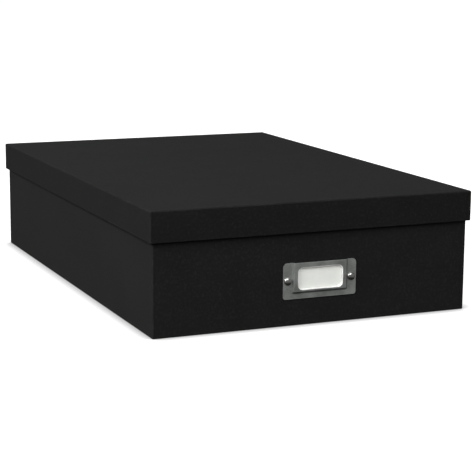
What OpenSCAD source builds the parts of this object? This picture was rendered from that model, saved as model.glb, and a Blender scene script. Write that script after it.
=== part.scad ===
// Archival storage box: a paper-covered chipboard tray under a lift-off lid,
// with a stamped metal card frame riveted to the front wall.
// The origin is the middle of the underside. The front faces -Y, and Z is up.

/* [Box] */
// Outside width of the lid, along the front
lid_w = 260; // [200:1:340]
// Outside depth of the lid, front to back
lid_d = 387; // [300:1:460]
// Height of the closed box
box_h = 92.5; // [92:0.5:140]
// Height of the lid's skirt, from its lower edge to the top
skirt_h = 23; // [19:0.5:24]
// Radius of the wrapped outside edges
edge_r = 1.2; // [0.6:0.1:1.6]

/* [Board and paper] */
// Thickness of the chipboard
board_t = 1.6; // [1.2:0.1:3]
// Thickness of the cover and lining papers
paper_t = 0.25; // [0.2:0.05:0.4]
// Room between the lid's skirt and the tray, on each side
lid_gap = 0.5; // [0.3:0.1:1]
// How far the tray's cover paper turns in below the rim
tray_turn_in = 18; // [10:1:30]
// How far the lid's cover paper turns in above the skirt's edge
lid_turn_in = 15; // [8:1:16]
// How far the tray's cover paper turns under the bottom
turn_under = 12; // [6:1:20]
// Border of turned-under paper that the base sheet leaves bare
base_border = 3; // [2:0.5:5]
// Length of each leg of a corner stay tape
stay_leg = 20; // [12:1:30]
// Thickness of the stay tape, pressed flush into the board
stay_t = 0.2; // [0.15:0.05:0.3]

/* [Card frame] */
// Width of the stamped plate
plate_w = 59.5; // [59:0.5:70]
// Height of the stamped plate
plate_h = 27; // [26.5:0.5:29]
// Radius of the plate's upper corners
plate_r = 3; // [2:0.5:5]
// Radius of the plate's lower corners
plate_foot_r = 2; // [1:0.5:4]
// Thickness of the sheet metal
sheet_t = 0.5; // [0.4:0.05:0.6]
// Width of the raised pocket at its foot
pocket_w = 46; // [43:0.5:46]
// Depth of the slot behind the raised pocket
pocket_depth = 1.4; // [1.3:0.1:1.6]
// Flat border of the plate below the pocket
pocket_border = 3.6; // [3.2:0.1:4.4]
// Width of the window's opening
window_w = 35.6; // [30:0.1:38]
// Height of the window's opening
window_h = 15.6; // [12:0.1:16]
// Corner radius of the window's opening
window_r = 3.2; // [1:0.1:4]
// Radius of the bend where the sheet turns in round the window
lip_r = 0.7; // [0.6:0.1:0.9]
// Flat border of the pocket above the lip
window_border = 3.5; // [3.3:0.1:4.3]
// Distance between the two brads
brad_pitch = 51.8; // [51.4:0.1:53]
// Diameter of a brad's domed head
brad_head_d = 6; // [5:0.1:6]
// Height of a brad's domed head
brad_head_h = 1.7; // [1.4:0.1:1.9]
// Sideways place of the plate from the middle of the front
holder_x = 3.5; // [-20:0.1:20]
// Height of the plate's middle above the underside
holder_z = 33.6; // [30:0.1:34]

/* [Hidden] */
$fn = 64;
// Room for cuts to run past a face
past = 1;

// A wall of the box with the cover paper on both faces
wrapped_t = board_t + 2*paper_t;
// The lid stands out from the tray by its own wall and the room inside it
overhang = wrapped_t + lid_gap;
tray_w = lid_w - 2*overhang;
tray_d = lid_d - 2*overhang;

// Levels of the tray's layers, from the table up
under_z = paper_t;
bottom_z = under_z + paper_t;
floor_z = bottom_z + board_t;
// The lid's lining rests on the tray's rim
lid_board_z = box_h - paper_t - board_t;
rim_z = lid_board_z - paper_t;
rim_board_z = rim_z - paper_t;
turn_in_z = rim_z - tray_turn_in;
// Levels of the lid's skirt
skirt_z = box_h - skirt_h;
skirt_board_z = skirt_z + paper_t;
lid_turn_in_z = skirt_z + lid_turn_in;

// Insets from the outside: cover paper, then board, then the paper inside
board_in = paper_t;
inner_in = paper_t + board_t;
cavity_in = wrapped_t;
// Radius of the paper's fold round a board's cut edge
fold_r = 0.45;
// The stays stop short of the walls' upper and lower edges
stay_end = 3;

// The pressed pocket: its slope leans in by run over its rise
pocket_rise = pocket_depth + sheet_t;
pocket_run = 1.7;
slope = pocket_run/pocket_rise;
// Sheet thickness measured level across the sloping side
slope_t = sheet_t*sqrt(1 + slope*slope);
pocket_y0 = pocket_border - plate_h/2;
window_y = plate_h/2 - window_border - lip_r - window_h/2;
// How far the turned-in lip reaches from the pocket's face towards the card
lip_depth = 1.1;
// How far the lip's section reaches back into the pocket's face, which it grows out of
lip_root = 0.2;

// The card, clear of the wall behind it and of the lip in front of it
card_t = 0.35;
card_r = 0.8;
card_gap = 0.25;
card_z = 0.2;
// The slope narrows the slot at the card's front face
card_in = slope_t + slope*(card_z + card_t) + card_gap;
card_w = pocket_w - 2*card_in;
card_y0 = pocket_y0 + card_in;
card_top_border = 0.8;
card_h = plate_h/2 - card_top_border - card_y0;

// The brads: a domed head on a low rim, a shank and two legs bent flat inside the wall
brad_shank_r = 1;
brad_hole_r = 1.15;
brad_grip = sheet_t + wrapped_t;
brad_rim_h = 0.25;
brad_leg_l = 8;
brad_leg_w = 2;
brad_leg_t = 0.4;
brad_tip_r = 0.9;

// Corners of the box, as a name and the signs of X and Y
CORNERS = [
    ["front_left", -1, -1],
    ["front_right", 1, -1],
    ["back_left", -1, 1],
    ["back_right", 1, 1]
];
// Ends and sides of the box, as a name and the sign of the axis that it faces
ENDS = [["front", -1], ["back", 1]];
SIDES = [["left", -1], ["right", 1]];

COVER_BLACK = [0.11, 0.11, 0.11];
CHIPBOARD = [0.55, 0.52, 0.47];
STAY_KRAFT = [0.62, 0.48, 0.33];
LINING_WHITE = [0.9, 0.89, 0.85];
NICKEL = [0.55, 0.57, 0.55];
CARD_WHITE = [0.93, 0.93, 0.91];

function tray_size(inset) = [tray_w - 2*inset, tray_d - 2*inset];
function lid_size(inset) = [lid_w - 2*inset, lid_d - 2*inset];
function edge_radius(inset) = max(edge_r - inset, 0);

// A rectangle about the origin with true round corners
module rounded_rect(size, r) {
    square([size[0] - 2*r, size[1]], center = true);
    square([size[0], size[1] - 2*r], center = true);
    if (r > 0)
        for (x = [-1, 1], y = [-1, 1])
            translate([x*(size[0]/2 - r), y*(size[1]/2 - r)]) circle(r);
}

// A slab of that outline between two levels
module slab(size, r, z0, z1) {
    translate([0, 0, z0]) linear_extrude(z1 - z0) rounded_rect(size, r);
}

// A closed band of paper between two outlines and two levels
module band(outer, outer_r, inner, inner_r, z0, z1) {
    difference() {
        slab(outer, outer_r, z0, z1);
        slab(inner, inner_r, z0 - past, z1 + past);
    }
}

// A box from one corner to another
module block(low, high) {
    translate(low) cube(high - low);
}

// A rectangle standing on the X axis with its two upper corners round
module rounded_top(w, h, r) {
    translate([-w/2, 0]) square([w, h - r]);
    translate([r - w/2, 0]) square([w - 2*r, h]);
    if (r > 0)
        for (x = [-1, 1]) translate([x*(w/2 - r), h - r]) circle(r);
}

// The same with its two lower corners round too
module rounded_ends(w, h, top_r, foot_r) {
    intersection() {
        rounded_top(w, h, top_r);
        translate([0, h]) mirror([0, 1]) rounded_top(w, h, foot_r);
    }
}

// A block between two levels, with round edges up its corners, round its top and round its foot
module soft_block(size, r, top_r, foot_r, z0, z1) {
    h = z1 - z0;
    translate([0, 0, z0]) intersection() {
        linear_extrude(h) rounded_rect(size, r);
        rotate([90, 0, 0]) linear_extrude(size[1], center = true) rounded_ends(size[0], h, top_r, foot_r);
        rotate([90, 0, 90]) linear_extrude(size[0], center = true) rounded_ends(size[1], h, top_r, foot_r);
    }
}

// The lid as a solid block, taken in from its outside, from a level up to its top
module lid_block(inset, z0, foot_r = 0) {
    r = edge_radius(inset);
    soft_block(lid_size(inset), r, r, foot_r, z0, box_h - inset);
}

// One end board's space: the full width of a board outline, at the front or the back
module end_space(size, sign, z0, z1) {
    y = sign*(size[1] - board_t)/2;
    block([-size[0]/2, y - board_t/2, z0], [size[0]/2, y + board_t/2, z1]);
}

// One side board's space: between the two end boards
module side_space(size, sign, z0, z1) {
    x = sign*(size[0] - board_t)/2;
    half = size[1]/2 - board_t;
    block([x - board_t/2, -half, z0], [x + board_t/2, half, z1]);
}

// A stay tape folded round one corner of the boards, sunk flush with them
module corner_stay(size, corner, z0, z1) {
    r = edge_radius(board_in);
    x = corner[1]*size[0]/2;
    y = corner[2]*size[1]/2;
    intersection() {
        band(size, r, size - 2*[stay_t, stay_t], r - stay_t, z0 + stay_end, z1 - stay_end);
        translate([x, y, (z0 + z1)/2]) cube([2*stay_leg, 2*stay_leg, z1 - z0], center = true);
    }
}

module corner_stays(size, z0, z1) {
    for (c = CORNERS) corner_stay(size, c, z0, z1);
}

// Moves a shape drawn flat, its front towards +Z, to its place on the front wall
module on_front() {
    translate([holder_x, -tray_d/2, holder_z]) rotate([90, 0, 0]) children();
}

module brad_places() {
    for (s = SIDES) translate([s[1]*brad_pitch/2, 0, 0]) children();
}

// Holes for the brads through the front wall
module brad_holes() {
    on_front() brad_places() cylinder(r = brad_hole_r, h = 4*wrapped_t, center = true);
}

// Tray

module tray_bottom_board() {
    color(CHIPBOARD) slab(tray_size(inner_in), 0, bottom_z, floor_z);
}

module tray_end_board(sign) {
    size = tray_size(board_in);
    color(CHIPBOARD) difference() {
        intersection() {
            slab(size, edge_radius(board_in), bottom_z, rim_board_z);
            end_space(size, sign, bottom_z, rim_board_z);
        }
        corner_stays(size, bottom_z, rim_board_z);
        if (sign < 0) brad_holes();
    }
}

module tray_side_board(sign) {
    size = tray_size(board_in);
    color(CHIPBOARD) difference() {
        side_space(size, sign, bottom_z, rim_board_z);
        corner_stays(size, bottom_z, rim_board_z);
    }
}

module tray_stay(corner) {
    color(STAY_KRAFT) corner_stay(tray_size(board_in), corner, bottom_z, rim_board_z);
}

// Cover paper round the walls, turned in over the rim and turned under the bottom
module tray_wrap() {
    color(COVER_BLACK) difference() {
        soft_block(tray_size(0), edge_r, fold_r, fold_r, under_z, rim_z);
        // The boards and the room inside them, less the paper turned in over the rim
        difference() {
            slab(tray_size(board_in), edge_radius(board_in), bottom_z, rim_board_z);
            band(tray_size(inner_in), 0, tray_size(cavity_in), 0, turn_in_z, rim_z);
        }
        slab(tray_size(cavity_in), 0, turn_in_z, rim_z + past);
        slab(tray_size(turn_under), 0, under_z - past, floor_z);
        brad_holes();
    }
}

// Flat sheet over the turned-under edges, which the box stands on
module tray_base_sheet() {
    color(COVER_BLACK) slab(tray_size(base_border), 0, 0, under_z);
}

// Lining of the floor and walls, up to the turned-in cover paper
module tray_lining() {
    color(LINING_WHITE) difference() {
        slab(tray_size(inner_in), 0, floor_z, turn_in_z);
        slab(tray_size(cavity_in), 0, floor_z + paper_t, turn_in_z + past);
        brad_holes();
    }
}

// Lid

module lid_top_board() {
    color(CHIPBOARD) lid_block(board_in, lid_board_z);
}

module lid_end_board(sign) {
    size = lid_size(board_in);
    color(CHIPBOARD) difference() {
        intersection() {
            slab(size, edge_radius(board_in), skirt_board_z, lid_board_z);
            end_space(size, sign, skirt_board_z, lid_board_z);
        }
        corner_stays(size, skirt_board_z, lid_board_z);
    }
}

module lid_side_board(sign) {
    size = lid_size(board_in);
    color(CHIPBOARD) difference() {
        side_space(size, sign, skirt_board_z, lid_board_z);
        corner_stays(size, skirt_board_z, lid_board_z);
    }
}

module lid_stay(corner) {
    color(STAY_KRAFT) corner_stay(lid_size(board_in), corner, skirt_board_z, lid_board_z);
}

// Cover paper over the top and skirt, turned in round the skirt's lower edge
module lid_wrap() {
    color(COVER_BLACK) difference() {
        lid_block(0, skirt_z, fold_r);
        // The boards and the room inside them, less the turned-in paper
        difference() {
            lid_block(board_in, skirt_board_z);
            band(lid_size(inner_in), 0, lid_size(cavity_in), 0, skirt_z, lid_turn_in_z);
        }
        slab(lid_size(cavity_in), 0, skirt_z - past, lid_turn_in_z);
    }
}

module lid_lining() {
    color(LINING_WHITE) slab(lid_size(inner_in), 0, rim_z, lid_board_z);
}

// Card frame

// A pressed pocket about the Y axis, from y0 to the plate's top edge or past it.
// Its two sides and its foot slope in as they rise, and its top is open.
module pocket(w, y0, y1, rise) {
    run = slope*rise;
    intersection() {
        translate([0, y1, 0]) rotate([90, 0, 0]) linear_extrude(y1 - y0)
            polygon([[-w/2, 0], [run - w/2, rise], [w/2 - run, rise], [w/2, 0]]);
        rotate([90, 0, 90]) linear_extrude(w, center = true)
            polygon([[y0, 0], [y0 + run, rise], [y1, rise], [y1, 0]]);
    }
}

// The plate's outline: its upper corners are rounder than its lower ones
module plate_outline() {
    intersection() {
        rounded_rect([plate_w, plate_h], plate_foot_r);
        translate([0, -plate_h/2]) rounded_top(plate_w, plate_h, plate_r);
    }
}

// Section through the turned-in lip: X runs from its outline in to the opening, Y out from the wall
module lip_section() {
    translate([-lip_root, pocket_depth]) square([lip_root, sheet_t]);
    translate([0, pocket_rise - lip_r]) intersection() {
        difference() {
            circle(lip_r);
            circle(lip_r - sheet_t);
        }
        square(lip_r);
    }
    translate([lip_r - sheet_t, pocket_rise - lip_depth]) square([sheet_t, lip_depth - lip_r]);
}

// A straight run of the lip along X, its outline on the axis and the opening towards +Y
module lip_run(l) {
    rotate([90, 0, 90]) linear_extrude(l, center = true) lip_section();
}

// A quarter turn of the lip about the Z axis, between +X and +Y
module lip_corner() {
    rotate_extrude(angle = 90) translate([window_r + lip_r, 0]) mirror([1, 0]) lip_section();
}

// The lip turned in round the window
module window_lip() {
    straight = [window_w, window_h] - 2*[window_r, window_r];
    translate([0, window_y, 0]) for (turn = [0, 180]) rotate(turn) {
        translate([0, -window_h/2 - lip_r, 0]) lip_run(straight[0]);
        rotate(-90) translate([0, -window_w/2 - lip_r, 0]) lip_run(straight[1]);
        translate(straight/2) lip_corner();
        translate([-straight[0], straight[1]]/2) rotate(90) lip_corner();
    }
}

module card_frame() {
    lip_outline = [window_w, window_h] + 2*[lip_r, lip_r];
    color(NICKEL) on_front() union() {
        difference() {
            union() {
                linear_extrude(sheet_t) plate_outline();
                pocket(pocket_w, pocket_y0, plate_h/2, pocket_rise);
            }
            pocket(pocket_w - 2*slope_t, pocket_y0 + slope_t, plate_h/2 + past, pocket_depth);
            translate([0, window_y, 0]) slab(lip_outline, window_r + lip_r, -past, pocket_rise + past);
            brad_places() cylinder(r = brad_hole_r, h = 4*wrapped_t, center = true);
        }
        window_lip();
    }
}

// The card, which slides up out of the frame's open top
module label_card() {
    color(CARD_WHITE) on_front() translate([0, card_y0 + card_h/2, 0])
        slab([card_w, card_h], card_r, card_z, card_z + card_t);
}

// A brad about the Z axis, its head seated on the plate and its legs bent flat inside the box
module brad() {
    head_r = brad_head_d/2;
    dome_h = brad_head_h - brad_rim_h;
    // Radius of the sphere that the dome is cut from
    dome_r = (head_r*head_r + dome_h*dome_h)/(2*dome_h);
    leg_z = sheet_t - brad_grip - brad_leg_t;
    translate([0, 0, sheet_t]) cylinder(r = head_r, h = brad_rim_h);
    translate([0, 0, sheet_t + brad_rim_h]) intersection() {
        translate([0, 0, dome_h - dome_r]) sphere(dome_r);
        cylinder(r = dome_r, h = dome_h);
    }
    translate([0, 0, leg_z]) cylinder(r = brad_shank_r, h = sheet_t - leg_z);
    slab([brad_leg_w, 2*brad_leg_l], brad_tip_r, leg_z, leg_z + brad_leg_t);
}

module placed_brad(sign) {
    color(NICKEL) on_front() translate([sign*brad_pitch/2, 0, 0]) brad();
}

tray_bottom_board();
for (e = ENDS) tray_end_board(e[1]);
for (s = SIDES) tray_side_board(s[1]);
for (c = CORNERS) tray_stay(c);
tray_wrap();
tray_base_sheet();
tray_lining();
lid_top_board();
for (e = ENDS) lid_end_board(e[1]);
for (s = SIDES) lid_side_board(s[1]);
for (c = CORNERS) lid_stay(c);
lid_wrap();
lid_lining();
card_frame();
label_card();
for (s = SIDES) placed_brad(s[1]);
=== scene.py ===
"""Archival box: a black paper-covered tray and lift-off lid, with a metal card frame on the front."""

import math

import bmesh
import bpy
from bpy.props import FloatProperty, FloatVectorProperty, PointerProperty
from mathutils import Euler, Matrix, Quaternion, Vector


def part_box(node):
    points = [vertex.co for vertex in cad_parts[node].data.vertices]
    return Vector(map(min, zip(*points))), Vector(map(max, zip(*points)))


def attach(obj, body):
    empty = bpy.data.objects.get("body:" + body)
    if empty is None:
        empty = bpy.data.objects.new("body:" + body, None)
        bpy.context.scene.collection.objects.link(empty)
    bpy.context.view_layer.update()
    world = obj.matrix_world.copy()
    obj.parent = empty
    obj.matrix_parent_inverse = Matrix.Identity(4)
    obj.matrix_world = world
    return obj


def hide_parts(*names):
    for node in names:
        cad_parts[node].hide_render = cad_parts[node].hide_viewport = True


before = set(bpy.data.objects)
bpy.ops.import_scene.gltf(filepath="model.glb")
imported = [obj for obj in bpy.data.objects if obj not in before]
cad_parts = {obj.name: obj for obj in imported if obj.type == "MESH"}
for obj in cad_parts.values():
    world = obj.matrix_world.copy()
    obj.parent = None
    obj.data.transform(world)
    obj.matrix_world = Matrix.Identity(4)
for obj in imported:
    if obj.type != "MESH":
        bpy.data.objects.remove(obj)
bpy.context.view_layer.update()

bl_info = {
    "name": "Archival Box",
    "version": (1, 0, 0),
    "blender": (4, 5, 0),
    "location": "3D View > Sidebar > Archival Box",
    "description": "Dresses the box's boards with cover paper, lining, card frame, brads and card",
    "category": "Add Mesh",
}

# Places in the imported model

LID_LOW, LID_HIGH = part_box("lid_wrap")
TRAY_LOW, TRAY_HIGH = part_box("tray_wrap")
LINING_LOW, LINING_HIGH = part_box("tray_lining")
PLATE_LOW, PLATE_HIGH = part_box("card_frame")
CARD_LOW, CARD_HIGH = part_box("label_card")
BRADS = [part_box(name) for name in ("left_brad", "right_brad")]
BASE_LOW, BASE_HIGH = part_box("tray_base_sheet")
BOTTOM_LOW, BOTTOM_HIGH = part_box("tray_bottom_board")

# One layer of paper
PAPER = BASE_HIGH.z - BASE_LOW.z
# A wall: one board with the cover paper on both its faces
WALL = BOTTOM_HIGH.z - BOTTOM_LOW.z + 2 * PAPER
# The wall that the card frame is fastened to
FRONT_Y = TRAY_LOW.y

# Units, axes and tests

MM = 0.001
X, Y, Z = range(3)
# Two places closer than this are the same place
TINY = 0.02 * MM
# An edge runs along an axis, or a face looks along it, when the axis has this share of its direction
ALONG = 0.9
# Angles between faces that make a fold of paper or a bend of the pressed sheet
FOLD_ANGLE = math.radians(40)
BEND_ANGLE = math.radians(20)
# Angles between faces that stay sharp when the rest is shaded smooth
PAPER_SHARP = math.radians(35)
METAL_SHARP = math.radians(40)

# Facets in each kind of rounding

EDGE_FACETS = 5
FOLD_FACETS = 3
CREASE_FACETS = 4
SOFT_FACETS = 2
PLATE_FACETS = 6
WINDOW_FACETS = 8
BEND_FACETS = 4
LIP_FACETS = 6
DOME_FACETS = 9
BRAD_SIDES = 48

# Forms of the metal pieces

# Thickness of the sheet that the card frame is pressed from
SHEET = 0.5 * MM
# How far a brad's dome turns before its flat crown
DOME_TURN = math.radians(84)
# Stretches of a brad's leg: how far along each one ends, and its width there as a share of that before
LEG_TAPER = ((0.8, 0.95), (0.94, 0.8), (1.0, 0.55))

# Patterns and light

WHITE = (1, 1, 1, 1)
BLACK = (0, 0, 0, 1)
# Where soft patches begin and end in noise about 0.5
CLOUD = (0.3, 0.7)
# How the marks of rubbing stretch along the axes
EVEN = (1, 1, 1)
BRUSHED = (14, 1, 1)
# Height of a direction, -1 for down and 1 for up, where ground light ends and sky light begins
GROUND_END = -0.55
SKY_START = -0.1
# Rays that look for the contact shadow
CONTACT_RAYS = 16


def length(name, description, default):
    """A size that the user can change, in metres."""
    return FloatProperty(name=name, description=description, default=default, precision=5,
                         unit="LENGTH", subtype="DISTANCE")


def angle(name, description, degrees):
    """An angle that the user can change, given in degrees."""
    return FloatProperty(name=name, description=description, default=math.radians(degrees), subtype="ANGLE")


def number(name, description, default, subtype="NONE"):
    """A strength, share or other number that the user can change."""
    return FloatProperty(name=name, description=description, default=default, subtype=subtype)


def colour(name, description, default):
    """A colour that the user can change."""
    return FloatVectorProperty(name=name, description=description, default=default, size=3,
                               min=0, max=1, subtype="COLOR")


def vector(name, description, default, subtype="TRANSLATION"):
    """A place or direction that the user can change."""
    return FloatVectorProperty(name=name, description=description, default=default, size=3, subtype=subtype)


class CoverSettings(bpy.types.PropertyGroup):
    """Sizes and colours of the papers and boards"""

    edge_radius: length("Edge radius", "Radius of the wrapped outside edges", 1.2 * MM)
    fold_radius: length("Fold radius", "Radius of the paper's fold over a board's cut edge", 0.45 * MM)
    crease_radius: length("Crease radius", "Radius of the lining's inside corners", 0.9 * MM)
    lid_turn_in: length("Lid turn-in", "How far the paper turns in behind the lid's skirt", 15 * MM)
    turn_under: length("Turn-under", "How far the paper turns under the tray", 12 * MM)
    flap_margin: length("Flap margin", "Strip of the corner flap that the end paper leaves bare", 4 * MM)
    flap_step: length("Flap step", "Step from the end paper down to the corner flap", 0.18 * MM)
    tray_colour: colour("Tray cover", "Colour of the tray's cover paper", (0.0103, 0.0103, 0.0103))
    # The lid's paper is a darker copy of the tray's paper, as painted shade on the lid
    lid_shaded_colour: colour("Lid cover", "Colour of the lid's cover paper", (0.0085, 0.0085, 0.0085))
    worn_colour: colour("Worn cover", "Colour of the cover paper's rubbed edges", (0.035, 0.035, 0.034))
    lining_colour: colour("Lining", "Colour of the lining paper", (0.74, 0.715, 0.65))
    board_colour: colour("Chipboard", "Colour of the bare board", (0.29, 0.25, 0.2))
    tape_colour: colour("Stay tape", "Colour of the corner stays", (0.36, 0.215, 0.105))


class HolderSettings(bpy.types.PropertyGroup):
    """Sizes and colours of the card frame, its brads and its card"""

    sheet: length("Sheet", "Thickness of the frame's sheet metal", SHEET)
    soft_edge: length("Soft edge", "Width of the softened edges of the frame's sheet", 0.1 * MM)
    corner_radius: length("Corner radius", "Radius of the plate's upper corners", 3 * MM)
    foot_radius: length("Foot radius", "Radius of the plate's lower corners", 2 * MM)
    pocket_width: length("Pocket width", "Width of the raised pocket where it leaves the plate", 45.1 * MM)
    pocket_border: length("Pocket border", "Flat border of the plate below the pocket", 4.05 * MM)
    pocket_run: length("Pocket run", "How far the pocket's sides lean in", 1.25 * MM)
    pocket_rise: length("Pocket rise", "How far the pocket stands out from the plate",
                        PLATE_HIGH.y - PLATE_LOW.y - SHEET)
    bend: length("Bend", "Half width of the pocket's rounded bends", 0.36 * MM)
    window_width: length("Window width", "Width of the window's opening", 35.6 * MM)
    window_height: length("Window height", "Height of the window's opening", 15.6 * MM)
    window_radius: length("Window radius", "Radius of the opening's corners", 3.2 * MM)
    window_border: length("Window border", "Flat border of the pocket above the lip", 3.5 * MM)
    lip_radius: length("Lip radius", "Radius of the bend where the sheet turns in at the window", 0.7 * MM)
    lip_depth: length("Lip depth", "How far the lip reaches towards the card", 1.1 * MM)
    head_height: length("Head height", "Height of a brad's domed head", FRONT_Y - BRADS[0][0].y - SHEET)
    head_rim: length("Head rim", "Height of the upright rim of a brad's head", 0.25 * MM)
    head_edge: length("Head edge", "Width of the softened edge under a brad's head", 0.09 * MM)
    shank_radius: length("Shank radius", "Radius of a brad's shank", 1 * MM)
    leg_thickness: length("Leg thickness", "Thickness of a brad's leg", 0.4 * MM)
    leg_width: length("Leg width", "Width of a brad's leg", 2 * MM)
    card_radius: length("Card radius", "Radius of the card's corners", 0.8 * MM)
    card_edge: length("Card edge", "Width of the card's softened edges", 0.06 * MM)
    metal_colour: colour("Metal", "Colour of the plated metal", (0.42, 0.44, 0.42))
    # Painted shade: the pocket's sideways slopes get a darker metal colour
    slope_painted_shade: number("Slope dullness", "How far the pocket's slopes are darkened", 0.8)
    # The lip's lighter colour is a painted highlight on the same sheet as the plate
    lip_highlight_colour: colour("Lip", "Colour of the polished lip round the window", (0.8, 0.8, 0.79))
    lip_polish: number("Lip polish", "Polish of the lip, which is satin at 0", 0.5)
    lip_metal: number("Lip metal", "Share of bare metal in the lip's finish", 0.35)
    brad_colour: colour("Brads", "Colour of the polished brads", (0.45, 0.45, 0.44))
    brad_polish: number("Brad polish", "Polish of the brads, which are satin at 0", 1.4)
    card_colour: colour("Card", "Colour of the card", (0.82, 0.835, 0.79))


class StageSettings(bpy.types.PropertyGroup):
    """Camera, floor and lights"""

    camera_place: vector("Camera", "Place of the camera", (-0.4906, -1.1791, 0.277))
    yaw: angle("Yaw", "Turn of the camera to the right of straight ahead", 23.4)
    pitch: angle("Pitch", "Tilt of the camera below level", 10.91)
    roll: angle("Roll", "Roll of the camera about its line of sight", 0.47)
    lens: number("Lens", "Focal length of the camera", 116.55, "DISTANCE_CAMERA")
    sensor: number("Sensor", "Width of the camera's sensor", 36, "DISTANCE_CAMERA")
    floor_size: length("Floor size", "Width of the floor", 60)
    floor_colour: colour("Floor", "Colour of the floor", (0.3, 0.3, 0.3))
    floor_glow: number("Floor glow", "Light that the white floor gives off", 0.92)
    contact: length("Contact shadow", "Reach of the shadow where the box meets the floor", 15 * MM)
    contact_depth: number("Contact depth", "Exponent that darkens the contact shadow", 1.35)
    sky: number("Sky", "Strength of the even light from above", 0.25)
    ground: number("Ground", "Strength of the even light from below", 0.03)
    key_light: number("Key light", "Strength of the wide soft light overhead", 0.3)
    key_spread: angle("Key spread", "Angle that the soft light overhead fills", 110)
    key_from: vector("Key direction", "Direction of the soft light overhead", (-0.1, -0.1, 1), "DIRECTION")
    softbox_size: length("Softbox size", "Width of each softbox", 1.1)
    side_light: number("Side light", "Power of the softbox high on the left", 70, "POWER")
    side_place: vector("Side place", "Place of the softbox high on the left", (-1.55, -0.5, 1.25))
    front_light: number("Front light", "Power of the softbox high at the front", 18.5, "POWER")
    front_place: vector("Front place", "Place of the softbox high at the front", (-0.1, -1.5, 1.3))
    fill_light: number("Fill light", "Power of the softboxes right, back and below", 34, "POWER")
    right_place: vector("Right place", "Place of the softbox on the right", (1.7, 0.1, 0.1))
    back_place: vector("Back place", "Place of the softbox at the back", (0.1, 1.8, 0.1))
    under_place: vector("Under place", "Place of the softbox below the box", (0, 0, -2))


# Modelling

def begin(name):
    """Names the primitive just added, puts its place into its mesh and opens it for editing."""
    piece = bpy.context.object
    piece.name = piece.data.name = name
    bpy.ops.object.transform_apply()
    bpy.ops.object.mode_set(mode="EDIT")
    return piece


def add_block(name, low, high):
    """A block from one corner to another, open for editing."""
    bpy.ops.object.select_all(action="DESELECT")
    bpy.ops.mesh.primitive_cube_add(size=1, location=(low + high) / 2, scale=high - low)
    return begin(name)


def pick(kind, test):
    """Selects the vertices, edges or faces that pass a test, and nothing else."""
    mesh = bpy.context.object.data
    bpy.ops.mesh.select_mode(type=kind)
    bpy.ops.mesh.select_all(action="DESELECT")
    shape = bmesh.from_edit_mesh(mesh)
    shape.normal_update()
    parts = {"VERT": shape.verts, "EDGE": shape.edges, "FACE": shape.faces}[kind]
    chosen = [part for part in parts if test(part)]
    for part in chosen:
        part.select_set(True)
    shape.select_flush_mode()
    bmesh.update_edit_mesh(mesh)
    if not chosen:
        raise RuntimeError(f"{bpy.context.object.name}: nothing to select")


def runs_along(edge, axis):
    """True for an edge that runs along an axis."""
    step = edge.verts[1].co - edge.verts[0].co
    return abs(step[axis]) > ALONG * step.length


def at_level(part, z):
    """True for an edge or face that lies at a height."""
    return all(abs(v.co.z - z) < TINY for v in part.verts)


def is_fold(edge):
    """True for an edge where two faces meet at a fold."""
    return edge.calc_face_angle(0) > FOLD_ANGLE


def bevel(offset, segments, affect="EDGES"):
    """Rounds the selected edges or corners."""
    bpy.ops.mesh.bevel(offset=offset, offset_type="OFFSET", segments=segments, profile=0.5, affect=affect)


def extrude(x=0, y=0, z=0):
    """Extrudes the selection by a move."""
    bpy.ops.mesh.extrude_region_move(TRANSFORM_OT_translate={"value": (x, y, z)})


def draw_in(low, high, inset):
    """Brings the selected ring in from a box's sides, about the Z axis."""
    size = high - low
    bpy.ops.transform.resize(value=(1 - 2 * inset / size.x, 1 - 2 * inset / size.y, 1),
                             center_override=(low + high) / 2)


def cut(place, direction):
    """Cuts new edges across the whole mesh at a plane."""
    bpy.ops.mesh.select_all(action="SELECT")
    bpy.ops.mesh.bisect(plane_co=place, plane_no=direction)


def apply_modifier(piece, kind, **settings):
    """Adds a modifier, sets it and applies it."""
    modifier = piece.modifiers.new(kind.title(), kind)
    for key, value in settings.items():
        setattr(modifier, key, value)
    bpy.ops.object.modifier_apply(modifier=modifier.name)


def leave(piece, thickness=0, edge=0, sharp=PAPER_SHARP):
    """Closes editing, gives a sheet its thickness, softens its edges and shades it smooth."""
    bpy.ops.object.mode_set(mode="OBJECT")
    if thickness:
        apply_modifier(piece, "SOLIDIFY", thickness=thickness, offset=-1, use_even_offset=True)
    if edge:
        apply_modifier(piece, "BEVEL", width=edge, segments=SOFT_FACETS, limit_method="ANGLE",
                       angle_limit=sharp)
    bpy.ops.object.shade_smooth_by_angle(angle=sharp)
    apply_modifier(piece, "WEIGHTED_NORMAL", keep_sharp=True)


def paint(item, finish):
    """Gives an object a finish in place of any that it has."""
    item.data.materials.clear()
    item.data.materials.append(finish.material)


def dress(piece, finish, body, slot, *nodes):
    """Gives a finished piece its material and body, and hides the CAD nodes that it stands for. The slot is
    not used.
    """
    paint(piece, finish)
    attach(piece, body)
    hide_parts(*nodes)


def stand_on_front(piece, x, z):
    """Turns a piece drawn flat, its front towards +Z, to face out from the front wall."""
    piece.rotation_euler = (math.pi / 2, 0, 0)
    piece.location = (x, FRONT_Y, z)
    bpy.ops.object.transform_apply()


def flap_steps(low, high, cover):
    """Sinks the strips of corner flap beside the upright edges of the front and back."""
    middle = (low + high) / 2
    half = (high - low) / 2
    for side in (-1, 1):
        for reach in (cover.flap_margin, cover.flap_margin - cover.flap_step):
            cut((middle.x + side * (half.x - reach), 0, 0), (1, 0, 0))
    strip = half.x - cover.flap_margin + cover.flap_step / 2
    for face in (-1, 1):
        pick("VERT", lambda v: abs(v.co.x - middle.x) > strip
             and abs(v.co.y - middle.y - face * half.y) < TINY)
        bpy.ops.transform.translate(value=(0, -face * cover.flap_step, 0))


# Finishes

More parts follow.
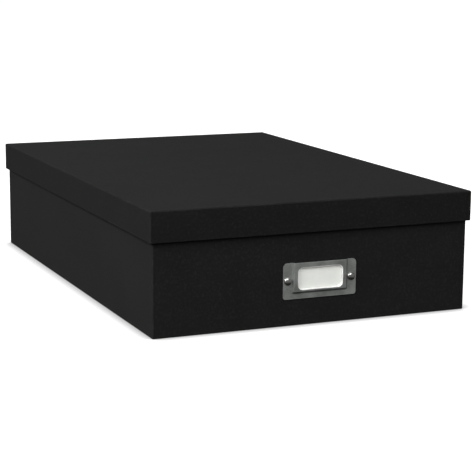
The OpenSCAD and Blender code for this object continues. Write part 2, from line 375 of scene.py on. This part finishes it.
class Wire:
    """A socket of a node tree. Arithmetic on it adds Math nodes."""

    def __init__(self, nodes, socket):
        self.nodes = nodes
        self.socket = socket

    def math(self, operation, first, second=0.0):
        """A Math node on one value or two."""
        return self.nodes.add("ShaderNodeMath", {0: first, 1: second}, operation=operation)

    def __add__(self, other):
        return self.math("ADD", self, other)

    def __radd__(self, other):
        return self.math("ADD", other, self)

    def __sub__(self, other):
        return self.math("SUBTRACT", self, other)

    def __rsub__(self, other):
        return self.math("SUBTRACT", other, self)

    def __mul__(self, other):
        return self.math("MULTIPLY", self, other)

    def __rmul__(self, other):
        return self.math("MULTIPLY", other, self)

    def __pow__(self, exponent):
        return self.math("POWER", self, exponent)

    def __abs__(self):
        return self.math("ABSOLUTE", self)

    def lowest(self, other):
        """The lower of two values."""
        return self.math("MINIMUM", self, other)

    def highest(self, other):
        """The higher of two values."""
        return self.math("MAXIMUM", self, other)

    def rise(self, start, end):
        """0 before start and 1 after end, smoothly between them. Falls where end is the lower one."""
        low, high = sorted((start, end))
        ends = (0.0, 1.0) if end > start else (1.0, 0.0)
        inputs = {"Value": self, "From Min": low, "From Max": high, "To Min": ends[0], "To Max": ends[1]}
        return self.nodes.add("ShaderNodeMapRange", inputs, interpolation_type="SMOOTHSTEP")


class Nodes:
    """A node tree whose nodes are added one call each."""

    def __init__(self, tree):
        self.tree = tree

    def add(self, kind, inputs=None, output=0, **settings):
        """Adds a node, sets it, joins its inputs and gives one of its outputs."""
        node = self.tree.nodes.new(kind)
        for key, value in settings.items():
            setattr(node, key, value)
        for key, value in (inputs or {}).items():
            self.join(value, node.inputs[key])
        return Wire(self, node.outputs[output])

    def join(self, value, socket):
        """Links a wire to a socket, or gives the socket a plain value."""
        if isinstance(value, Wire):
            self.tree.links.new(value.socket, socket)
        else:
            socket.default_value = value

    def mix(self, first, second, factor):
        """A colour between two."""
        return self.add("ShaderNodeMix", {0: factor, 6: first, 7: second}, 2, data_type="RGBA")


class Finish(Nodes):
    """A material whose nodes are written as expressions on Object coordinates."""

    def __init__(self, name, **constants):
        self.material = bpy.data.materials.new(name)
        self.material.use_nodes = True
        super().__init__(self.material.node_tree)
        self.shader = self.tree.nodes["Principled BSDF"]
        self.place = self.add("ShaderNodeTexCoord", output="Object")
        self.set(**constants)

    def set(self, **sockets):
        """Sets or joins the shader's sockets, named in small letters with underscores."""
        names = {socket.name.lower().replace(" ", "_"): socket for socket in self.shader.inputs}
        for name, value in sockets.items():
            self.join(value, names[name])

    def shades(self, colour, low, high, factor):
        """A colour between two shades of itself."""
        return self.mix(opaque(colour, low), opaque(colour, high), factor)

    def noise(self, size, detail, stretch=EVEN):
        """Cloudy noise about 0.5, its patches of about that size in metres, stretched along the axes."""
        scale = [1 / (size * s) for s in stretch]
        mapped = self.add("ShaderNodeMapping", {"Vector": self.place, "Scale": scale})
        return self.add("ShaderNodeTexNoise", {"Vector": mapped, "Scale": 1.0, "Detail": detail})

    def fibres(self, size, detail, first, second):
        """Two sets of fibres that cross, each stretched its own way."""
        return self.noise(size, detail, first) * 0.5 + self.noise(size, detail, second) * 0.5

    def bump(self, height, distance, strength):
        """A normal from a height of 0 to 1 that stands for a distance in metres."""
        return self.add("ShaderNodeBump", {"Strength": strength, "Distance": distance, "Height": height})

    def edge_distance(self, low, high):
        """Distance from the nearest edge of a box, along its faces."""
        middle = (low + high) / 2
        half = (high - low) / 2
        parts = [self.add("ShaderNodeSeparateXYZ", {"Vector": self.place}, axis) for axis in (X, Y, Z)]
        inward = [half[axis] - abs(part - middle[axis]) for axis, part in enumerate(parts)]
        nearest = inward[X].lowest(inward[Y]).lowest(inward[Z])
        farthest = inward[X].highest(inward[Y]).highest(inward[Z])
        return inward[X] + inward[Y] + inward[Z] - nearest - farthest


def opaque(colour, share=1.0):
    """A colour property as a shader colour, made lighter or darker."""
    return tuple(min(1.0, part * share) for part in colour) + (1.0,)


def cover_finish(name, shade, low, high, cover):
    """Matt black cover paper with a fine tooth, short fibres and rubbed edges."""
    finish = Finish(name, specular_ior_level=0.04)
    tooth = finish.noise(0.35 * MM, 4)
    fibre = finish.fibres(0.28 * MM, 1, (1, 7, 1), (7, 1, 7))
    cloud = finish.noise(38 * MM, 4)
    edge = finish.edge_distance(low, high).rise(1.5 * MM, 0.2 * MM)
    rubbed = edge * finish.noise(7 * MM, 4).rise(0.45, 0.7)
    paper = finish.shades(shade, 0.94, 1.06, cloud.rise(*CLOUD))
    speck = fibre.rise(0.5, 0.68) * 0.25
    flecked = finish.mix(paper, opaque(cover.worn_colour), speck + rubbed * 0.15)
    finish.set(base_color=flecked, roughness=0.56 + cloud * 0.1 + tooth * 0.08,
               normal=finish.bump(tooth * 0.5 + fibre * 0.5, 0.12 * MM, 0.9))
    return finish


def lining_finish(cover):
    """Off-white lining paper with soft clouds and a few darker fibres."""
    finish = Finish("lining_paper", specular_ior_level=0.25)
    cloud = finish.noise(30 * MM, 4)
    fibre = finish.fibres(0.6 * MM, 2, (8, 1, 1), (1, 8, 8))
    tooth = finish.noise(0.4 * MM, 4)
    paper = finish.shades(cover.lining_colour, 0.985, 1.015, cloud.rise(*CLOUD))
    flecked = finish.mix(paper, opaque(cover.board_colour), fibre.rise(0.62, 0.74) * 0.22)
    finish.set(base_color=flecked, roughness=0.72 + cloud * 0.12,
               normal=finish.bump(tooth * 0.7 + fibre * 0.3, 0.05 * MM, 0.5))
    return finish


def board_finish(cover):
    """Grey chipboard of recycled pulp, flecked dark and pale."""
    finish = Finish("chipboard", specular_ior_level=0.2)
    pulp = finish.noise(6 * MM, 6)
    dark = finish.noise(0.9 * MM, 2, (3, 1, 1)).rise(0.62, 0.7)
    pale = finish.noise(0.7 * MM, 2, (1, 3, 1)).rise(0.62, 0.7)
    board = finish.shades(cover.board_colour, 0.88, 1.12, pulp.rise(0.35, 0.65))
    flecked = finish.mix(board, opaque(cover.board_colour, 0.45), dark * 0.6)
    finish.set(base_color=finish.mix(flecked, opaque(cover.lining_colour), pale * 0.5),
               roughness=0.85 + pulp * 0.1, normal=finish.bump(pulp * 0.5 + pale * 0.5, 0.08 * MM, 0.5))
    return finish


def tape_finish(cover):
    """Brown gummed stay tape with long fibres."""
    finish = Finish("stay_tape", specular_ior_level=0.3)
    fibre = finish.noise(0.4 * MM, 3, (1, 1, 10))
    cloud = finish.noise(9 * MM, 4)
    tape = finish.shades(cover.tape_colour, 0.85, 1.15, cloud.rise(*CLOUD))
    finish.set(base_color=finish.mix(tape, opaque(cover.tape_colour, 0.6), fibre.rise(0.55, 0.75) * 0.5),
               roughness=0.6 + fibre * 0.2, normal=finish.bump(fibre, 0.04 * MM, 0.5))
    return finish


def metal_finish(name, metal, low, high, polish=0.0, metallic=1.0, slope_shade=0.0, rubbing=EVEN):
    """Plated steel, rubbed and dulled in patches, with painted shade on slopes that face sideways, and
    scratches and a painted highlight on its edges.
    """
    finish = Finish(name, metallic=metallic)
    rub = finish.noise(0.22 * MM, 3, rubbing)
    tarnish = finish.noise(9 * MM, 5)
    worn = finish.noise(5 * MM, 2).rise(0.5, 0.65)
    scratch = finish.noise(0.3 * MM, 2, (1, 1, 26)).rise(0.66, 0.72) * worn
    wave = finish.noise(10 * MM, 2)
    plate = finish.shades(metal, 0.8, 1.22, (tarnish * 0.6 + rub * 0.4).rise(0.35, 0.65))
    # Painted shade: faces that turn sideways, the pocket's slopes, get a darker metal colour
    if slope_shade:
        facing = finish.add("ShaderNodeNewGeometry", output="Normal")
        slope = abs(finish.add("ShaderNodeSeparateXYZ", {"Vector": facing}, X))
        plate = finish.mix(plate, opaque(metal, 0.5), slope.rise(0.3, 0.6) * slope_shade)
    # Painted highlight: the sheet's edges are lightened in the metal's colour, together with real scratches
    edge_highlight_and_scratches = finish.edge_distance(low, high).rise(0.8 * MM, 0.1 * MM) * 0.4 + scratch * 0.5
    finish.set(base_color=finish.mix(plate, opaque(metal, 1.8), edge_highlight_and_scratches.lowest(0.8)),
               roughness=0.33 - polish * 0.2 + rub * 0.18 + tarnish * 0.12,
               normal=finish.bump(rub * 0.7 + tarnish * 0.3 + wave * 16, 0.02 * MM, 0.35))
    return finish


def card_finish(holder):
    """White card with a soft tooth and pale fibres."""
    finish = Finish("card_stock", specular_ior_level=0.3)
    tooth = finish.noise(0.3 * MM, 4)
    fibre = finish.noise(0.4 * MM, 2, (6, 1, 1))
    cloud = finish.noise(8 * MM, 3)
    card = finish.shades(holder.card_colour, 0.98, 1.015, cloud.rise(*CLOUD))
    finish.set(base_color=finish.mix(card, opaque(holder.card_colour, 0.85), fibre.rise(0.6, 0.72) * 0.15),
               roughness=0.6 + tooth * 0.15, normal=finish.bump(tooth * 0.6 + fibre * 0.4, 0.03 * MM, 0.5))
    return finish


# Pieces

class BOX_OT_lid_cover(bpy.types.Operator):
    """Wraps the lid's boards in cover paper, turned in behind the skirt"""

    bl_idname = "archival_box.lid_cover"
    bl_label = "Lid Cover"

    def execute(self, context):
        cover = context.scene.box_cover
        piece = add_block("lid_cover", LID_LOW, LID_HIGH)
        pick("EDGE", lambda e: runs_along(e, Z) or at_level(e, LID_HIGH.z))
        bevel(cover.edge_radius, EDGE_FACETS)
        pick("FACE", lambda f: f.normal.z < -ALONG)
        bpy.ops.mesh.delete(type="FACE")
        pick("EDGE", lambda e: at_level(e, LID_LOW.z))
        extrude()
        draw_in(LID_LOW, LID_HIGH, WALL)
        extrude(z=cover.lid_turn_in)
        pick("EDGE", lambda e: at_level(e, LID_LOW.z) and is_fold(e))
        bevel(cover.fold_radius, FOLD_FACETS)
        flap_steps(LID_LOW, LID_HIGH, cover)
        leave(piece, thickness=PAPER)
        # Painted shade: the lid's paper is darker than the tray's
        finish = cover_finish("lid_cover_paper", cover.lid_shaded_colour, LID_LOW, LID_HIGH, cover)
        dress(piece, finish, "lid", "cover_paper", "lid_wrap")
        return {"FINISHED"}


class BOX_OT_tray_cover(bpy.types.Operator):
    """Wraps the tray's walls in cover paper, turned in over the rim and under the bottom"""

    bl_idname = "archival_box.tray_cover"
    bl_label = "Tray Cover"

    def execute(self, context):
        cover = context.scene.box_cover
        piece = add_block("tray_cover", TRAY_LOW, TRAY_HIGH)
        pick("EDGE", lambda e: runs_along(e, Z))
        bevel(cover.edge_radius, EDGE_FACETS)
        pick("FACE", lambda f: abs(f.normal.z) > ALONG)
        bpy.ops.mesh.delete(type="FACE")
        pick("EDGE", lambda e: at_level(e, TRAY_HIGH.z))
        extrude()
        draw_in(TRAY_LOW, TRAY_HIGH, WALL)
        extrude(z=LINING_HIGH.z - TRAY_HIGH.z)
        pick("EDGE", lambda e: at_level(e, TRAY_LOW.z))
        extrude()
        draw_in(TRAY_LOW, TRAY_HIGH, cover.turn_under)
        pick("EDGE", lambda e: is_fold(e) and (at_level(e, TRAY_LOW.z) or at_level(e, TRAY_HIGH.z)))
        bevel(cover.fold_radius, FOLD_FACETS)
        flap_steps(TRAY_LOW, TRAY_HIGH, cover)
        leave(piece, thickness=PAPER)
        finish = cover_finish("tray_cover_paper", cover.tray_colour, TRAY_LOW, TRAY_HIGH, cover)
        dress(piece, finish, "tray", "cover_paper", "tray_wrap")
        paint(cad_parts["tray_base_sheet"], finish)
        return {"FINISHED"}


class BOX_OT_tray_lining(bpy.types.Operator):
    """Lines the tray's floor and walls with paper, creased into the corners, and the lid's top"""

    bl_idname = "archival_box.tray_lining"
    bl_label = "Tray Lining"

    def execute(self, context):
        cover = context.scene.box_cover
        piece = add_block("tray_lining_paper", LINING_LOW, LINING_HIGH)
        pick("EDGE", lambda e: runs_along(e, Z) or at_level(e, LINING_LOW.z))
        bevel(cover.crease_radius, CREASE_FACETS)
        pick("FACE", lambda f: f.normal.z > ALONG)
        bpy.ops.mesh.delete(type="FACE")
        leave(piece, thickness=PAPER)
        finish = lining_finish(cover)
        dress(piece, finish, "tray", "lining_paper", "tray_lining")
        paint(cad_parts["lid_lining"], finish)
        return {"FINISHED"}


class BOX_OT_boards(bpy.types.Operator):
    """Gives the boards and corner stays under the paper their finishes"""

    bl_idname = "archival_box.boards"
    bl_label = "Boards and Stays"

    def execute(self, context):
        cover = context.scene.box_cover
        finishes = {"_board": board_finish(cover), "_stay_": tape_finish(cover)}
        for name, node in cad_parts.items():
            for mark, finish in finishes.items():
                if mark in name:
                    paint(node, finish)
        return {"FINISHED"}


class BOX_OT_card_frame(bpy.types.Operator):
    """Presses the card frame from one sheet: plate, raised pocket and a window with a turned-in lip"""

    bl_idname = "archival_box.card_frame"
    bl_label = "Card Frame"

    def execute(self, context):
        holder = context.scene.box_holder
        half_x = (PLATE_HIGH.x - PLATE_LOW.x) / 2
        half_y = (PLATE_HIGH.z - PLATE_LOW.z) / 2
        lip_size = Vector((holder.window_width, holder.window_height)) + Vector((2, 2)) * holder.lip_radius
        lip_y = half_y - holder.window_border - lip_size.y / 2
        lip_middle = Vector((0, lip_y, holder.sheet + holder.pocket_rise))
        piece = self.press_pocket(holder, half_x, half_y)
        self.pierce_window(holder, lip_middle, lip_size)
        self.turn_lip(holder)
        leave(piece, thickness=holder.sheet, edge=holder.soft_edge, sharp=METAL_SHARP)
        stand_on_front(piece, PLATE_LOW.x + half_x, PLATE_LOW.z + half_y)
        finish = metal_finish("frame_metal", holder.metal_colour, PLATE_LOW, PLATE_HIGH,
                              slope_shade=holder.slope_painted_shade, rubbing=BRUSHED)
        dress(piece, finish, "tray", "nickel_plate", "card_frame")
        self.paint_lip_highlight(piece, holder, lip_middle, lip_size)
        return {"FINISHED"}

    def press_pocket(self, holder, half_x, half_y):
        """The plate with its round corners and the pocket raised from it, open at its top."""
        foot_x = holder.pocket_width / 2
        shoulder_x = foot_x - holder.pocket_run
        foot_y = holder.pocket_border - half_y
        shoulder_y = foot_y + holder.pocket_run
        bpy.ops.object.select_all(action="DESELECT")
        bpy.ops.mesh.primitive_plane_add(size=1, location=(0, 0, holder.sheet))
        piece = begin("pressed_frame")
        bpy.ops.transform.resize(value=(2 * half_x, 2 * half_y, 1), center_override=(0, 0, holder.sheet))
        for x in (-foot_x, -shoulder_x, shoulder_x, foot_x):
            cut((x, 0, 0), (1, 0, 0))
        for y in (foot_y, shoulder_y):
            cut((0, y, 0), (0, 1, 0))
        for end, radius in ((half_y, holder.corner_radius), (-half_y, holder.foot_radius)):
            pick("VERT", lambda v: abs(v.co.x) > half_x - TINY and abs(v.co.y - end) < TINY)
            bevel(radius, PLATE_FACETS, "VERTICES")
        pick("VERT", lambda v: abs(v.co.x) < shoulder_x + TINY and v.co.y > shoulder_y - TINY)
        bpy.ops.transform.translate(value=(0, 0, holder.pocket_rise))
        return piece

    def pierce_window(self, holder, middle, size):
        """Puts the lip's outline into the pocket's face, and rounds the pocket's bends."""
        mesh = bpy.context.object.data
        pick("FACE", lambda f: at_level(f, middle.z))
        bpy.ops.mesh.delete(type="ONLY_FACE")
        bpy.ops.mesh.primitive_plane_add(size=1, location=middle)
        bpy.ops.transform.resize(value=(*size, 1), center_override=middle)
        corners = [v.index for v in bmesh.from_edit_mesh(mesh).verts if v.select]
        pick("VERT", lambda v: v.index in corners)
        bevel(holder.window_radius + holder.lip_radius, WINDOW_FACETS, "VERTICES")
        pick("EDGE", lambda e: len(e.link_faces) < 2 and at_level(e, middle.z))
        bpy.ops.mesh.fill(use_beauty=True)
        bpy.ops.mesh.select_all(action="SELECT")
        bpy.ops.mesh.normals_make_consistent(inside=False)
        if sum(f.normal.z for f in bmesh.from_edit_mesh(mesh).faces) < 0:
            bpy.ops.mesh.flip_normals()
        pick("EDGE", lambda e: e.calc_face_angle(0) > BEND_ANGLE)
        bevel(holder.bend, BEND_FACETS)

    def turn_lip(self, holder):
        """Turns the sheet in towards the card round the window, and opens the window."""
        pick("FACE", lambda f: len(f.verts) > 4 * WINDOW_FACETS)
        for step in range(LIP_FACETS):
            start, end = (math.pi / 2 * s / LIP_FACETS for s in (step, step + 1))
            bpy.ops.mesh.inset(thickness=holder.lip_radius * (math.sin(end) - math.sin(start)),
                               depth=holder.lip_radius * (math.cos(end) - math.cos(start)))
        extrude(z=holder.lip_radius - holder.lip_depth)
        bpy.ops.mesh.delete(type="FACE")

    def paint_lip_highlight(self, piece, holder, middle, size):
        """Gives the lip a lighter copy of the metal's finish, a painted highlight."""
        radius = holder.window_radius + holder.lip_radius
        place = Vector((PLATE_LOW.x + PLATE_HIGH.x, PLATE_LOW.z + PLATE_HIGH.z)) / 2 + middle.xy

        def on_lip(face):
            spot = face.calc_center_median().xz - place
            past_x = max(abs(spot.x) - size.x / 2 + radius, 0)
            past_y = max(abs(spot.y) - size.y / 2 + radius, 0)
            return math.hypot(past_x, past_y) < radius

        # Painted highlight: the lip gets a lighter, less metallic copy of the plate's finish
        finish = metal_finish("lip_metal", holder.lip_highlight_colour, PLATE_LOW, PLATE_HIGH,
                              polish=holder.lip_polish, metallic=holder.lip_metal)
        piece.data.materials.append(finish.material)
        bpy.ops.object.mode_set(mode="EDIT")
        pick("FACE", on_lip)
        piece.active_material_index = 1
        bpy.ops.object.material_slot_assign()
        bpy.ops.object.mode_set(mode="OBJECT")


class BOX_OT_brads(bpy.types.Operator):
    """Makes the two split brads: domed head, shank and legs bent flat inside the wall"""

    bl_idname = "archival_box.brads"
    bl_label = "Brads"

    def execute(self, context):
        holder = context.scene.box_holder
        low, high = BRADS[0]
        head_radius = (high.x - low.x) / 2
        leg_length = (high.z - low.z) / 2
        piece = self.add_head(holder, head_radius)
        for side in (-1, 1):
            self.add_leg(holder, side, leg_length)
        leave(piece, sharp=METAL_SHARP)
        stand_on_front(piece, (low.x + high.x) / 2, (low.z + high.z) / 2)
        bpy.ops.object.duplicate(linked=False)
        copy = bpy.context.object
        copy.name = copy.data.name = "right_brad_metal"
        copy.location = BRADS[1][0] - low
        bpy.ops.object.transform_apply()
        for brad, node, (start, end) in zip((piece, copy), ("left_brad", "right_brad"), BRADS):
            finish = metal_finish(f"{node}_metal", holder.brad_colour, start, end, holder.brad_polish)
            dress(brad, finish, "tray", "nickel_plate", node)
        return {"FINISHED"}

    def add_head(self, holder, radius):
        """The domed head on the sheet, and the shank behind it through sheet and wall."""
        bpy.ops.object.select_all(action="DESELECT")
        bpy.ops.mesh.primitive_cylinder_add(vertices=BRAD_SIDES, radius=radius, depth=holder.head_rim,
                                            location=(0, 0, holder.sheet + holder.head_rim / 2))
        piece = begin("left_brad_metal")
        pick("FACE", lambda f: f.normal.z > ALONG)
        rise = holder.head_height - holder.head_rim
        for step in range(DOME_FACETS):
            start, end = (DOME_TURN * s / DOME_FACETS for s in (step, step + 1))
            bpy.ops.mesh.inset(thickness=radius * (math.cos(start) - math.cos(end)),
                               depth=rise * (math.sin(end) - math.sin(start)))
        pick("FACE", lambda f: f.normal.z < -ALONG)
        bpy.ops.mesh.inset(thickness=radius - holder.shank_radius)
        extrude(z=-holder.sheet - WALL)
        pick("EDGE", lambda e: at_level(e, holder.sheet)
             and all(v.co.xy.length > radius - TINY for v in e.verts))
        bevel(holder.head_edge, SOFT_FACETS)
        return piece

    def add_leg(self, holder, side, leg_length):
        """One leg, from the shank along the wall's inside to a narrow tip."""
        half = holder.leg_width / 2
        middle = Vector((0, side * half / 2, -WALL - holder.leg_thickness / 2))
        bpy.ops.mesh.primitive_cube_add(size=1, location=middle)
        size = (holder.leg_width, half, holder.leg_thickness)
        bpy.ops.transform.resize(value=size, center_override=middle)
        pick("FACE", lambda f: f.normal.y * side > ALONG and f.calc_center_median().z < -WALL
             and abs(f.calc_center_median().y - side * half) < TINY)
        reach = half
        for share, width in LEG_TAPER:
            extrude(y=side * (share * leg_length - reach))
            reach = share * leg_length
            bpy.ops.transform.resize(value=(width, 1, 1), center_override=(0, side * reach, middle.z))


class BOX_OT_label_card(bpy.types.Operator):
    """Cuts the blank card behind the frame's window"""

    bl_idname = "archival_box.label_card"
    bl_label = "Label Card"

    def execute(self, context):
        holder = context.scene.box_holder
        piece = add_block("blank_card", CARD_LOW, CARD_HIGH)
        pick("EDGE", lambda e: runs_along(e, Y))
        bevel(holder.card_radius, EDGE_FACETS)
        leave(piece, edge=holder.card_edge)
        dress(piece, card_finish(holder), "card", "card_stock", "label_card")
        return {"FINISHED"}


class BOX_OT_stage(bpy.types.Operator):
    """Sets the camera, the white floor and the soft lights"""

    bl_idname = "archival_box.stage"
    bl_label = "Stage"

    def execute(self, context):
        stage = context.scene.box_stage
        self.add_camera(context.scene, stage)
        self.add_floor(stage)
        self.add_sky(context.scene, stage)
        self.add_lights(stage)
        context.scene.view_settings.view_transform = "Standard"
        return {"FINISHED"}

    def add_camera(self, scene, stage):
        """The camera, turned to the right, tilted down and rolled about its line of sight."""
        turn = Euler((math.pi / 2 - stage.pitch, 0, -stage.yaw)).to_quaternion()
        roll = Quaternion((0, 0, 1), stage.roll)
        bpy.ops.object.camera_add(location=stage.camera_place, rotation=(turn @ roll).to_euler())
        camera = bpy.context.object
        camera.data.lens = stage.lens
        camera.data.sensor_width = stage.sensor
        scene.camera = camera

    def add_floor(self, stage):
        """A white floor that only the camera sees, so it neither lights the box nor shows in the metal."""
        bpy.ops.object.select_all(action="DESELECT")
        bpy.ops.mesh.primitive_plane_add(size=stage.floor_size)
        floor = bpy.context.object
        floor.name = floor.data.name = "floor"
        floor.visible_diffuse = False
        floor.visible_glossy = False
        floor.visible_shadow = False
        finish = Finish("floor_paper", specular_ior_level=0.0, emission_strength=stage.floor_glow)
        reach = {"Distance": stage.contact}
        # Painted contact shadow: ambient occlusion darkens the floor's colour and glow near the box
        openness = finish.add("ShaderNodeAmbientOcclusion", reach, "AO", samples=CONTACT_RAYS)
        open_air = openness ** stage.contact_depth
        finish.set(base_color=finish.mix(BLACK, opaque(stage.floor_colour), open_air), roughness=0.9,
                   emission_color=finish.mix(BLACK, WHITE, open_air))
        below = finish.add("ShaderNodeNewGeometry", output="Backfacing")
        paper = Wire(finish, finish.shader.outputs["BSDF"])
        clear = finish.add("ShaderNodeBsdfTransparent")
        seen = finish.add("ShaderNodeMixShader", {0: below, 1: paper, 2: clear})
        finish.join(seen, finish.tree.nodes["Material Output"].inputs["Surface"])
        paint(floor, finish)

    def add_sky(self, scene, stage):
        """Even light, stronger from above than from below, before a white backdrop."""
        scene.world = bpy.data.worlds.new("soft_sky")
        scene.world.use_nodes = True
        sky = Nodes(scene.world.node_tree)
        sky.tree.nodes.remove(sky.tree.nodes["Background"])
        direction = sky.add("ShaderNodeTexCoord", output="Generated")
        height = sky.add("ShaderNodeSeparateXYZ", {"Vector": direction}, Z)
        strength = stage.ground + height.rise(GROUND_END, SKY_START) * (stage.sky - stage.ground)
        light = sky.add("ShaderNodeBackground", {"Color": WHITE, "Strength": strength})
        backdrop = sky.add("ShaderNodeBackground", {"Color": WHITE})
        camera_ray = sky.add("ShaderNodeLightPath", output="Is Camera Ray")
        seen = sky.add("ShaderNodeMixShader", {0: camera_ray, 1: light, 2: backdrop})
        sky.join(seen, sky.tree.nodes["World Output"].inputs["Surface"])

    def add_lights(self, stage):
        """A wide soft light overhead, and softboxes on the four sides and below."""
        key_turn = Vector(stage.key_from).to_track_quat("Z", "Y").to_euler()
        bpy.ops.object.light_add(type="SUN", rotation=key_turn)
        key = bpy.context.object
        key.name = "key_light"
        key.data.energy = stage.key_light
        key.data.angle = stage.key_spread
        self.add_softbox("side_light", stage.side_place, stage.side_light, stage.softbox_size)
        self.add_softbox("front_light", stage.front_place, stage.front_light, stage.softbox_size)
        for side in ("right", "back", "under"):
            place = getattr(stage, f"{side}_place")
            fill = self.add_softbox(f"{side}_light", place, stage.fill_light, stage.softbox_size)
            fill.visible_glossy = False

    def add_softbox(self, name, place, power, size):
        """A square light that faces the box."""
        towards = Vector((0, 0, LID_LOW.z)) - Vector(place)
        turn = towards.to_track_quat("-Z", "Y").to_euler()
        bpy.ops.object.light_add(type="AREA", location=place, rotation=turn)
        light = bpy.context.object
        light.name = name
        light.data.energy = power
        light.data.size = size
        return light


class BOX_PT_panel(bpy.types.Panel):
    """Lists the box's pieces and their sizes"""

    bl_idname = "BOX_PT_panel"
    bl_label = "Archival Box"
    bl_space_type = "VIEW_3D"
    bl_region_type = "UI"
    bl_category = "Archival Box"

    def draw(self, context):
        for operator in PIECES:
            self.layout.operator(operator.bl_idname)
        for group in GROUPS:
            settings = getattr(context.scene, group)
            for name in settings.__annotations__:
                self.layout.prop(settings, name)


GROUPS = {"box_cover": CoverSettings, "box_holder": HolderSettings, "box_stage": StageSettings}
PIECES = (
    BOX_OT_stage,
    BOX_OT_boards,
    BOX_OT_lid_cover,
    BOX_OT_tray_cover,
    BOX_OT_tray_lining,
    BOX_OT_card_frame,
    BOX_OT_brads,
    BOX_OT_label_card,
)


def register():
    """Registers the classes and hangs the settings on the scene."""
    for cls in (*GROUPS.values(), *PIECES, BOX_PT_panel):
        bpy.utils.register_class(cls)
    for name, cls in GROUPS.items():
        setattr(bpy.types.Scene, name, PointerProperty(type=cls))


def unregister():
    """Takes the settings off the scene and unregisters the classes."""
    for name in GROUPS:
        delattr(bpy.types.Scene, name)
    for cls in (BOX_PT_panel, *reversed(PIECES), *reversed(GROUPS.values())):
        bpy.utils.unregister_class(cls)


def main():
    """Dresses the box."""
    register()
    bpy.ops.archival_box.stage()
    bpy.ops.archival_box.boards()
    bpy.ops.archival_box.lid_cover()
    bpy.ops.archival_box.tray_cover()
    bpy.ops.archival_box.tray_lining()
    bpy.ops.archival_box.card_frame()
    bpy.ops.archival_box.brads()
    bpy.ops.archival_box.label_card()


if __name__ == "__main__":
    main()
